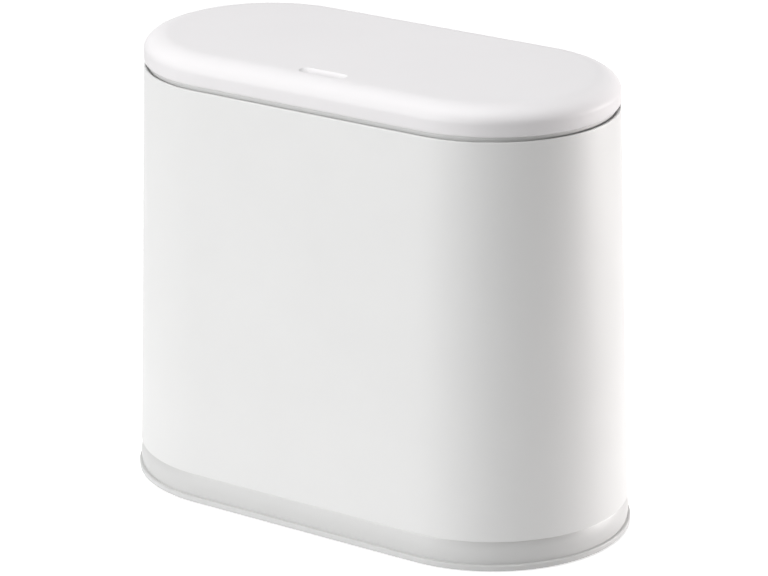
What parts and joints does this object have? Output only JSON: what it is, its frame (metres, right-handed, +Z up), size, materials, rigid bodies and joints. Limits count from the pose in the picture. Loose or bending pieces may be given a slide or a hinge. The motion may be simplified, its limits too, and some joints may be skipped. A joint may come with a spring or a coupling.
{
  "type": "press-top waste bin",
  "caption": "Slim stadium-plan white plastic waste bin on a lipped base, with a sprung press-to-open lid hinged at the back, a lift-out lid frame and an inner bucket.",
  "frame": {"origin": "on the floor, under the middle of the bin", "axes": "+X along the long side, -Y towards the front with the finger dimple, +Z up"},
  "size_m": [0.318, 0.162, 0.2695],
  "materials": {
    "body_white": "satin moulded",
    "lid_white": "satin moulded",
    "frame_white": "fine matt",
    "bucket_grey": "fine matt",
    "latch_grey": "plain moulded",
    "magnet_nickel": "nickel plated",
    "rubber": "matt rubber",
    "zinc_steel": "zinc plated",
    "spring_steel": "drawn wire"
  },
  "bodies": {
    "bin": {"base_tray": "body_white", "foot_front_left": "rubber", "foot_front_right": "rubber", "foot_rear_left": "rubber", "foot_rear_right": "rubber", "outer_sleeve": "body_white"},
    "frame": {"top_frame": "frame_white", "latch_housing": "latch_grey", "latch_cover": "latch_grey", "latch_cam_pin": "zinc_steel", "latch_spring": "spring_steel", "latch_screws": "zinc_steel", "lid_bumper_left": "rubber", "lid_bumper_right": "rubber", "hinge_pin": "zinc_steel", "hinge_pin_clip": "zinc_steel", "hinge_spring_left": "spring_steel", "hinge_spring_right": "spring_steel"},
    "lid": {"lid_shell": "lid_white", "lid_liner": "frame_white", "lid_screws": "zinc_steel", "strike_plate": "zinc_steel", "strike_screws": "zinc_steel"},
    "plunger": {"latch_plunger": "latch_grey", "latch_magnet": "magnet_nickel"},
    "bucket": {"inner_bucket": "bucket_grey", "bag_ring": "bucket_grey"}
  },
  "joints": [
    {"name": "frame_lift", "type": "slide", "parent": "bin", "child": "frame", "axis": [0, 0, 1], "range_m": [0, 0.5]},
    {"name": "lid_open", "type": "hinge", "parent": "frame", "child": "lid", "pos_m": [0, 0.0755, 0.2511], "axis": [-1, 0, 0], "range_deg": [0, 85], "deforming": ["hinge_spring_left", "hinge_spring_right"]},
    {"name": "latch_press", "type": "slide", "parent": "frame", "child": "plunger", "axis": [0, 0, 1], "range_m": [-0.00169, 0], "stiffness_N_per_m": 300, "deforming": ["latch_spring"]},
    {"name": "bucket_lift", "type": "slide", "parent": "bin", "child": "bucket", "axis": [0, 0, 1], "range_m": [0, 0.25]}
  ],
  "couplings": [
    {"joint": "bucket_lift", "follows": "frame_lift", "ratio": 0.5}
  ]
}
